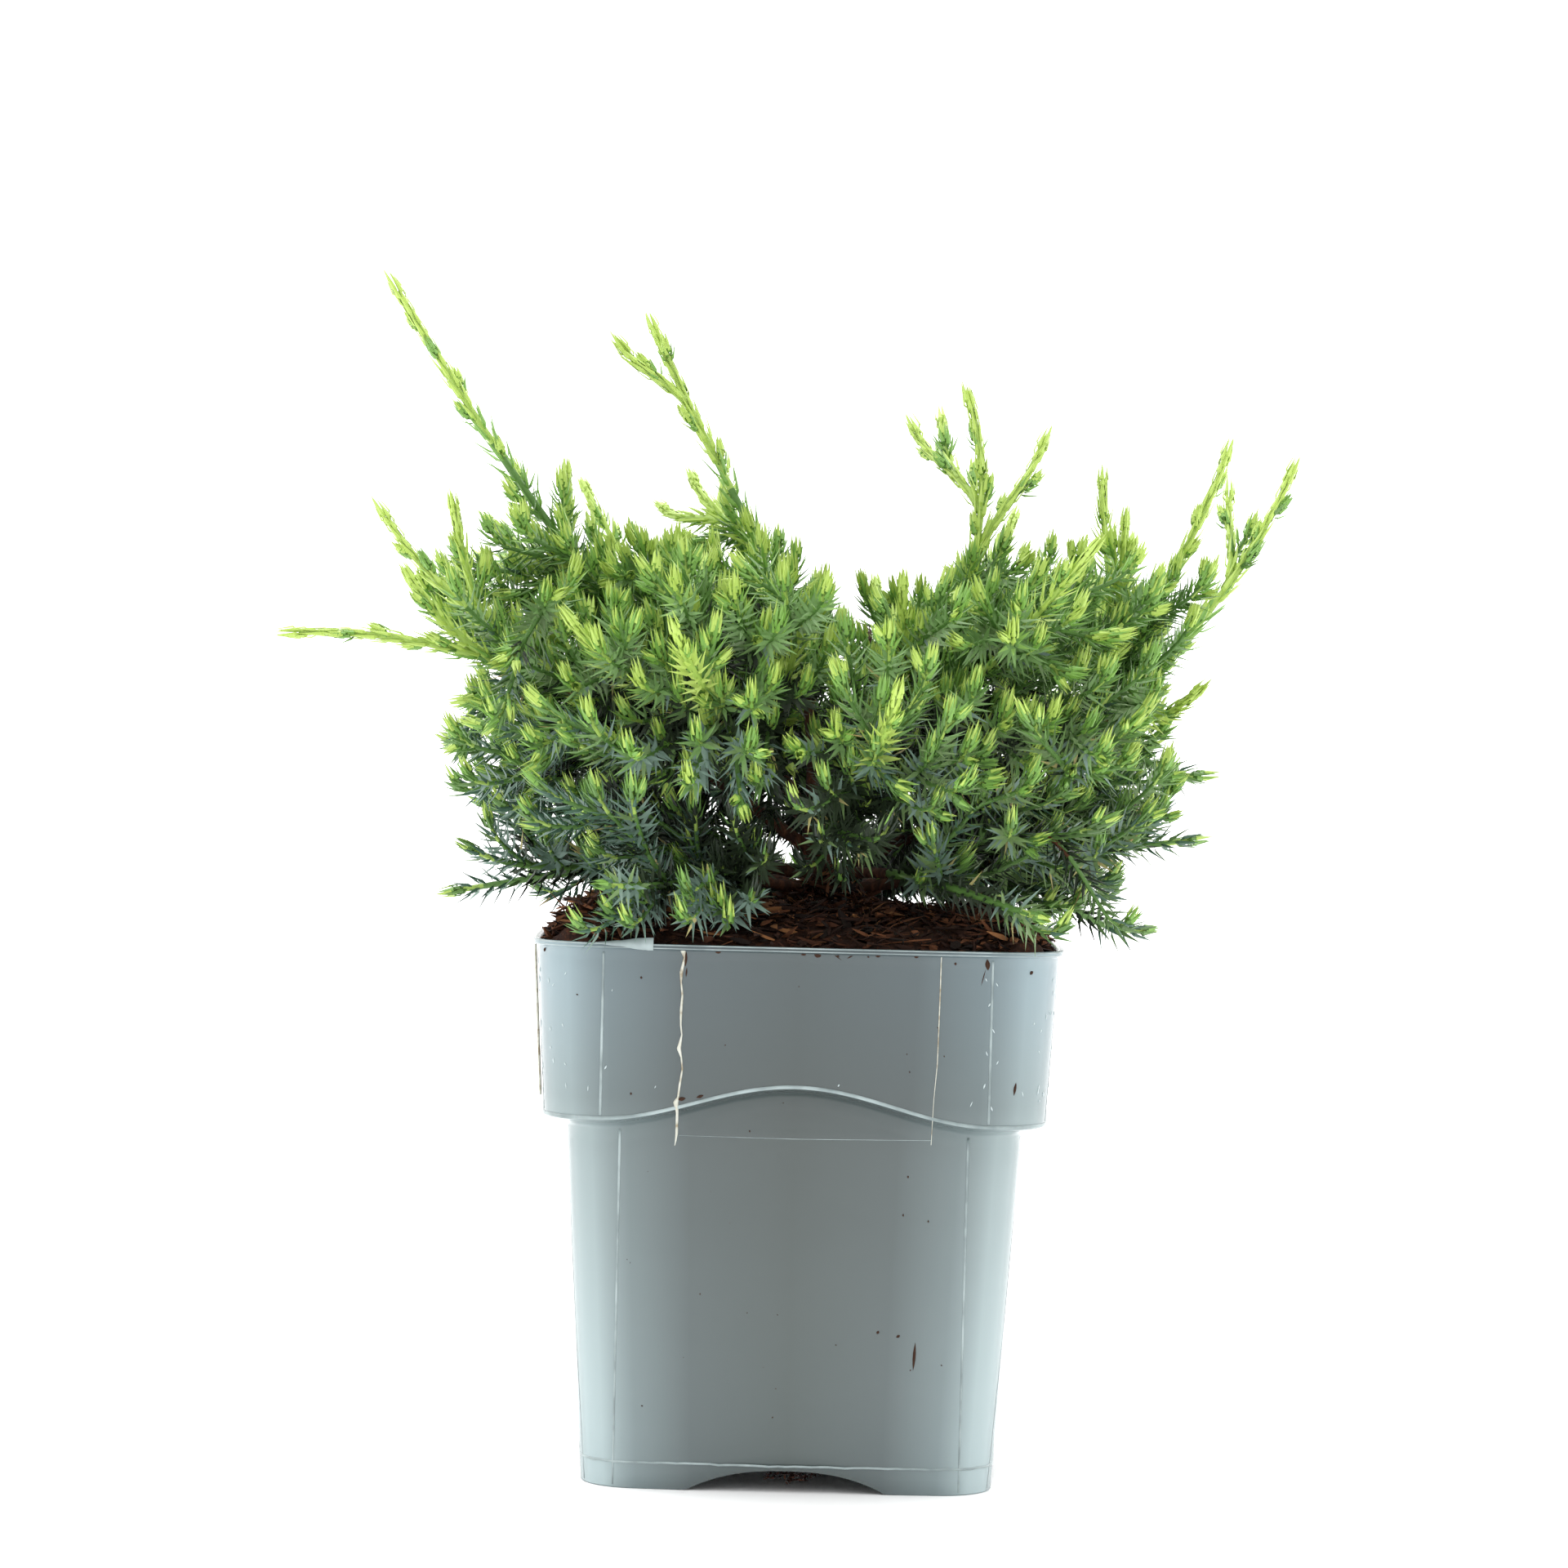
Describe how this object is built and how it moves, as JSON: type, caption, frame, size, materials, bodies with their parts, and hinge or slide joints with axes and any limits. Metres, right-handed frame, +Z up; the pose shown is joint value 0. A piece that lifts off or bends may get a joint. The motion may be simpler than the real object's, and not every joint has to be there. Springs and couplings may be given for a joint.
{
  "type": "potted flaky juniper",
  "caption": "Young spreading flaky juniper with upright leader shoots, growing in a rounded square plastic nursery pot with a wavy collar.",
  "frame": {"origin": "on the floor under the middle of the pot", "axes": "+Z up, -Y the pictured front, +X to the right seen from the front"},
  "size_m": [0.3248, 0.244, 0.382],
  "materials": {
    "pot_plastic": "smooth grey-blue injection-moulded polypropylene",
    "peat": "moist coarse peat fibre",
    "bark": "thin flaking red-brown bark",
    "needles": "waxy green needles, blue-green inside and lime at the tips"
  },
  "bodies": {
    "root": {"pot": "pot_plastic", "soil": "peat", "trunk": "bark", "bough_top_left": "bark", "bough_top_centre": "bark", "bough_top_right": "bark", "bough_far_left": "bark", "bough_far_right": "bark", "bough_front_left": "bark", "bough_front_right": "bark", "bough_front": "bark", "bough_back_left": "bark", "bough_back_right": "bark", "bough_back": "bark", "bough_low_left": "bark", "bough_low_front_left": "bark", "bough_low_front_right": "bark", "bough_low_right": "bark", "bough_low_back_right": "bark", "bough_low_back_left": "bark", "foliage_top_left": "needles", "foliage_top_centre": "needles", "foliage_top_right": "needles", "foliage_far_left": "needles", "foliage_far_right": "needles", "foliage_front_left": "needles", "foliage_front_right": "needles", "foliage_front": "needles", "foliage_back_left": "needles", "foliage_back_right": "needles", "foliage_back": "needles", "foliage_low_left": "needles", "foliage_low_front_left": "needles", "foliage_low_front_right": "needles", "foliage_low_right": "needles", "foliage_low_back_right": "needles", "foliage_low_back_left": "needles"}
  },
  "joints": []
}
